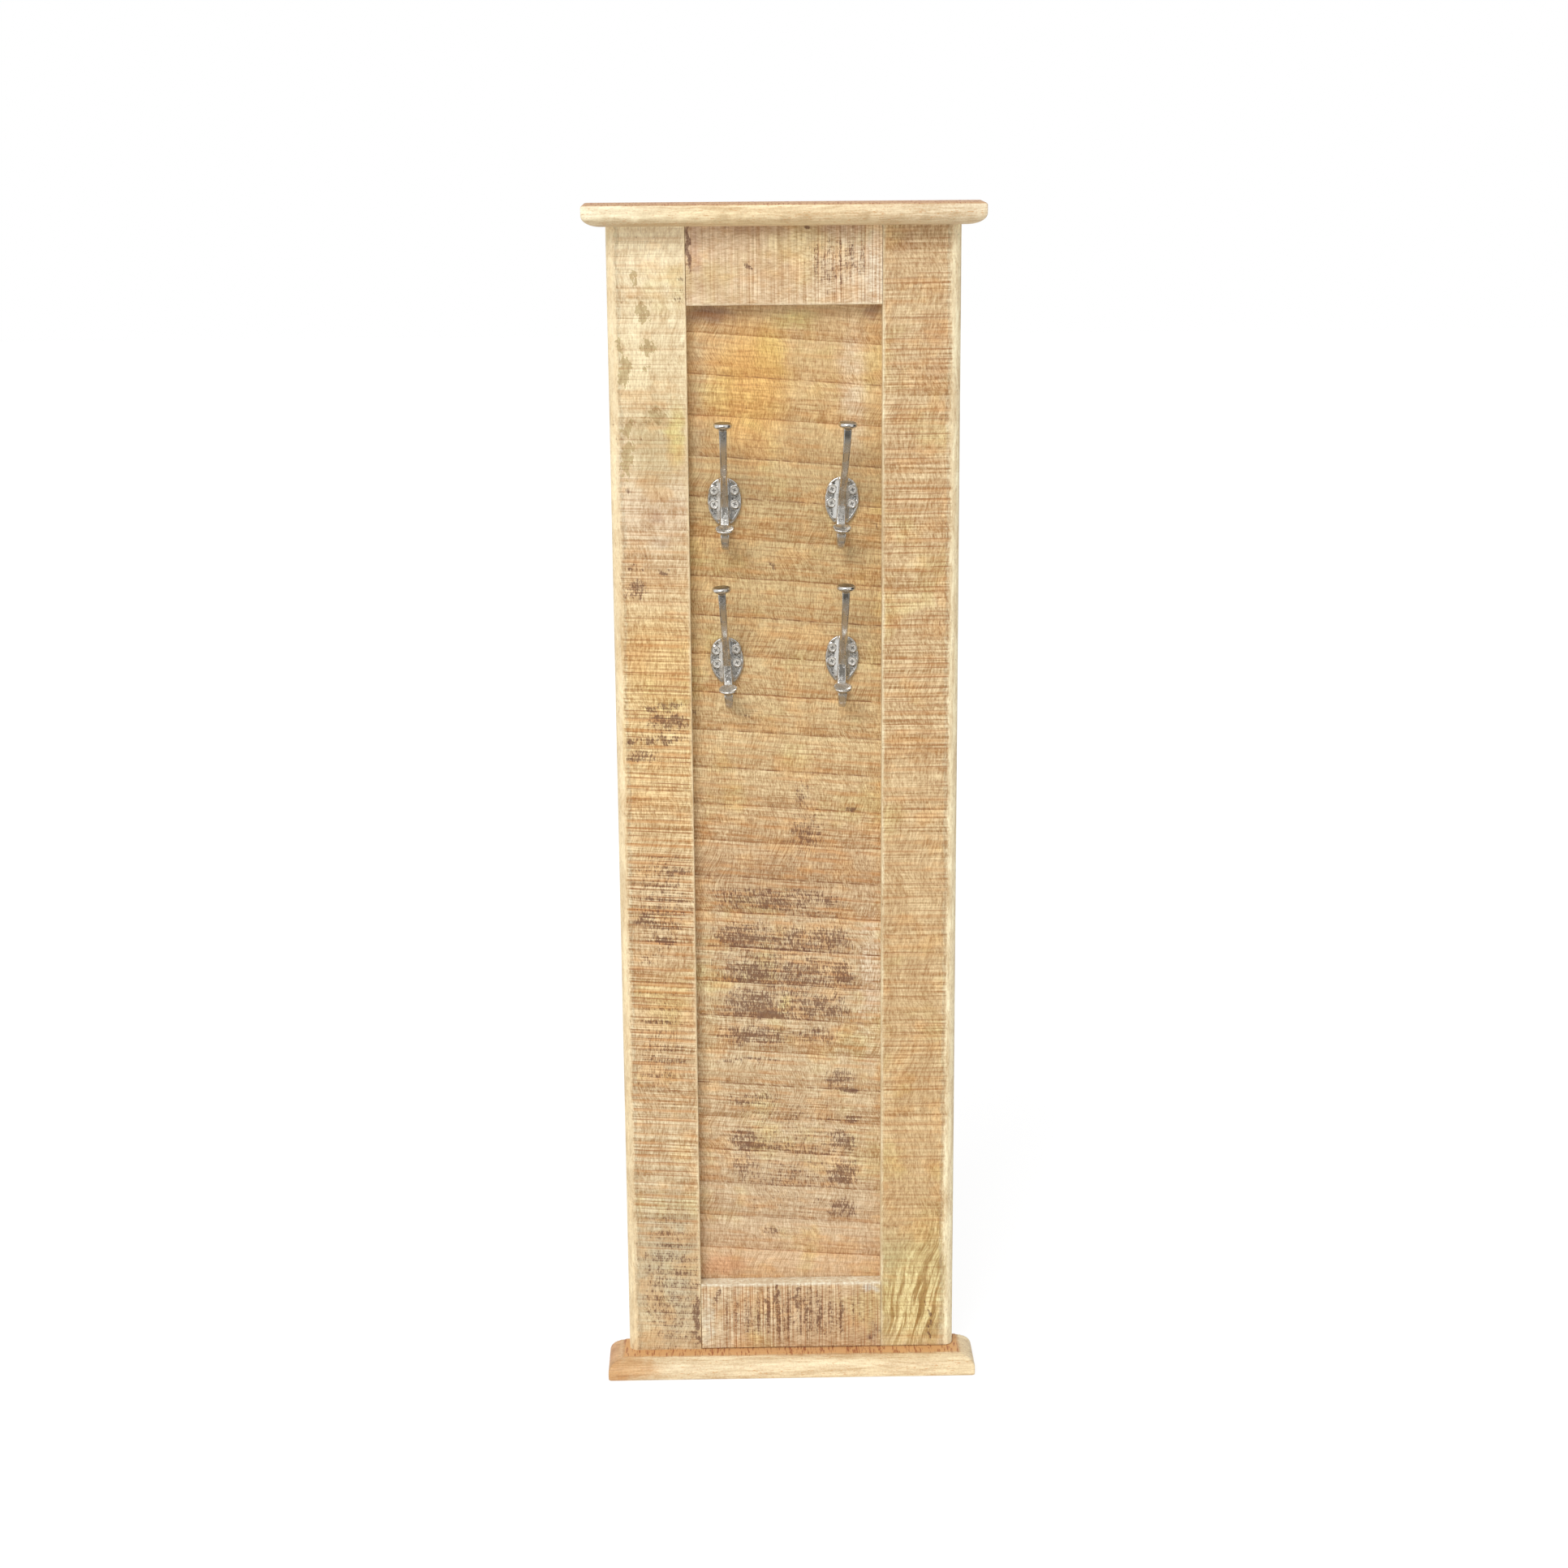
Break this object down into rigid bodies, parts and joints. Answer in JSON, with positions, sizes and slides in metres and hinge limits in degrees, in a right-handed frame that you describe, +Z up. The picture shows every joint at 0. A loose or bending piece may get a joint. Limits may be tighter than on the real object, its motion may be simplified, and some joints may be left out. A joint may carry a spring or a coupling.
{
  "type": "wall coat rack",
  "caption": "Tall narrow wall coat rack: a rough-sawn framed wood panel with rounded cornice and plinth boards, cast double hooks and keyhole hangers.",
  "frame": {"origin": "on the wall plane, midway between the round entries of the two keyhole hangers", "axes": "+Z up, +Y into the wall, +X to the right of someone facing the rack"},
  "size_m": [0.382, 0.072, 1.2],
  "materials": {
    "sawn_wood": "rough-sawn mango wood with band-saw marks and a thin clear wax",
    "sanded_wood": "planed and sanded mango wood with a thin clear wax",
    "dowel_wood": "plain turned hardwood",
    "cast_metal": "sand-cast, polished by hand on the arms and rims, left grainy on the plate",
    "screw_steel": "bright zinc-plated steel",
    "hanger_steel": "zinc-plated pressed sheet"
  },
  "bodies": {
    "root": {"left_stile": "sawn_wood", "right_stile": "sawn_wood", "top_rail": "sawn_wood", "bottom_rail": "sawn_wood", "back_panel": "sawn_wood", "panel_screws": "screw_steel", "cornice": "sanded_wood", "cornice_dowels": "dowel_wood", "plinth": "sanded_wood", "plinth_dowels": "dowel_wood", "hanger_plate_left": "hanger_steel", "hanger_plate_right": "hanger_steel", "hanger_screws": "screw_steel", "hook_upper_left": "cast_metal", "hook_upper_right": "cast_metal", "hook_lower_left": "cast_metal", "hook_lower_right": "cast_metal", "hook_screws": "screw_steel"}
  },
  "joints": []
}
